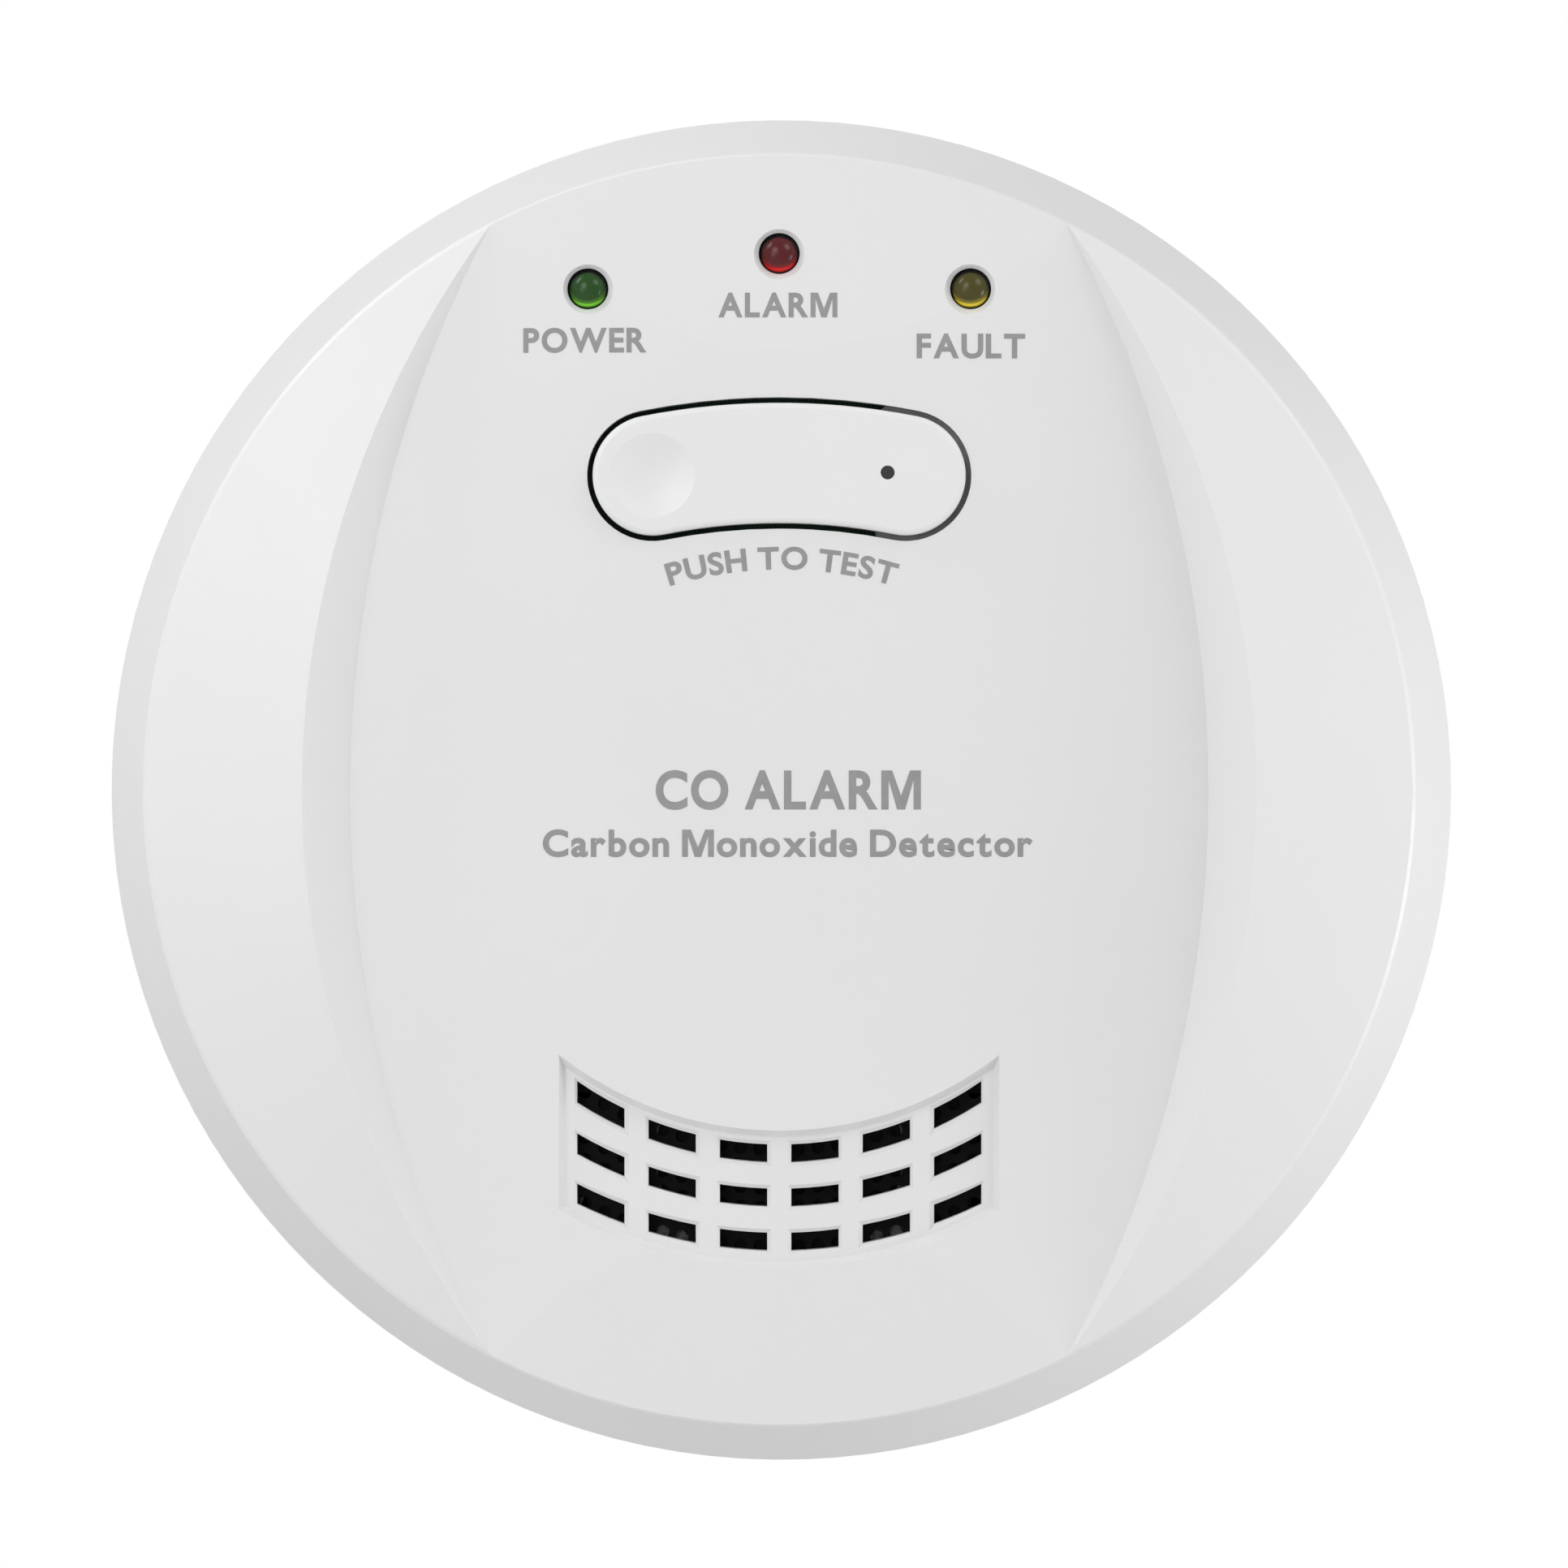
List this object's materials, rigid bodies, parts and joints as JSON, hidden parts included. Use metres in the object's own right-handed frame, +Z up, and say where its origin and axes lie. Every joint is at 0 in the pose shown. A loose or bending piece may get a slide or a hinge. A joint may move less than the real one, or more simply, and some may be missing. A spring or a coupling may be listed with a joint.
{
  "type": "carbon monoxide alarm",
  "caption": "Round white wall-mounted carbon monoxide alarm with a curved test button, small indicator lamps, a slotted grille, a rear battery door and a twist-lock bracket.",
  "frame": {"origin": "middle of the bracket's hole pattern, on the wall plane behind the alarm", "axes": "+Z up the wall, +X to the right as the face is seen, +Y into the wall, so the face looks along -Y"},
  "size_m": [0.107, 0.0383, 0.107],
  "materials": {
    "white_plastic": "fine satin moulded white plastic",
    "button_plastic": "satin moulded white plastic",
    "bracket_plastic": "matte moulded white plastic",
    "black_plastic": "matte black moulding",
    "mesh_black": "black coated sheet",
    "steel": "bright zinc-plated steel",
    "tin": "tinned metal",
    "nickel": "nickel-plated spring steel",
    "brass": "bright brass",
    "ceramic_white": "silvered ceramic",
    "board_green": "green solder mask on glass-fibre",
    "chip_black": "moulded epoxy",
    "capacitor_tan": "fired ceramic",
    "sleeve_blue": "shrink sleeve",
    "ferrite": "ferrite",
    "copper": "enamelled copper wire",
    "lens_green": "tinted clear epoxy, green",
    "lens_red": "tinted clear epoxy, red",
    "lens_yellow": "tinted clear epoxy, yellow",
    "label_silver": "blank printed-label stock",
    "foam_grey": "soft foam",
    "felt_white": "porous filter felt",
    "lead_red": "wire insulation, red",
    "lead_black": "wire insulation, black",
    "cell_jacket": "plain battery jacket",
    "sensor_plastic": "white sensor moulding"
  },
  "bodies": {
    "bracket": {"mounting_bracket": "bracket_plastic"},
    "head": {"alarm_lamp_red": "lens_red", "battery_cells": "cell_jacket", "board_screws": "steel", "buffer_capacitors": "sleeve_blue", "button_hinge_pin": "steel", "ceramic_capacitors": "capacitor_tan", "clock_crystal": "steel", "coil_winding": "copper", "contact_link": "nickel", "contact_springs": "nickel", "contact_terminals": "nickel", "controller_chip": "chip_black", "controller_pins": "tin", "cover_screws": "steel", "fault_lamp_yellow": "lens_yellow", "front_cover": "white_plastic", "insect_mesh": "mesh_black", "lamp_leads": "tin", "lamp_spacers": "black_plastic", "lead_plug": "sensor_plastic", "main_board": "board_green", "piezo_ceramic": "ceramic_white", "piezo_plate": "brass", "power_lamp_green": "lens_green", "rating_label": "label_silver", "rear_cover": "white_plastic", "resistors": "chip_black", "sensor_base": "black_plastic", "sensor_can": "steel", "sensor_cell": "sensor_plastic", "sensor_filter": "felt_white", "sensor_pins": "tin", "sounder_cap": "black_plastic", "sounder_case": "black_plastic", "sounder_gasket": "foam_grey", "sounder_lead_black": "lead_black", "sounder_lead_red": "lead_red", "step_up_coil": "ferrite", "switch_base": "black_plastic", "switch_frame": "steel", "switch_legs": "tin"},
    "test_button": {"test_button": "button_plastic"},
    "switch_plunger": {"switch_plunger": "black_plastic"},
    "battery_door": {"battery_door": "white_plastic", "door_foam": "foam_grey"}
  },
  "joints": [
    {"name": "head_twist", "type": "hinge", "parent": "bracket", "child": "head", "pos_m": [0, 0, 0], "axis": [0, -1, 0], "range_deg": [0, 15]},
    {"name": "button_press", "type": "hinge", "parent": "head", "child": "test_button", "pos_m": [0.0115, -0.0313, 0.0242], "axis": [0, 0, -1], "range_deg": [0, 1.89], "stiffness_Nm_per_rad": 0.5, "springref_deg": -1.15},
    {"name": "switch_press", "type": "slide", "parent": "head", "child": "switch_plunger", "axis": [0, 1, 0], "range_m": [0, 0.0007]},
    {"name": "battery_door_swing", "type": "hinge", "parent": "head", "child": "battery_door", "pos_m": [0, -0.0081, -0.016], "axis": [-1, 0, 0], "range_deg": [0, 95]}
  ],
  "couplings": [
    {"joint": "switch_press", "follows": "button_press", "m_per_rad": 0.021202}
  ]
}
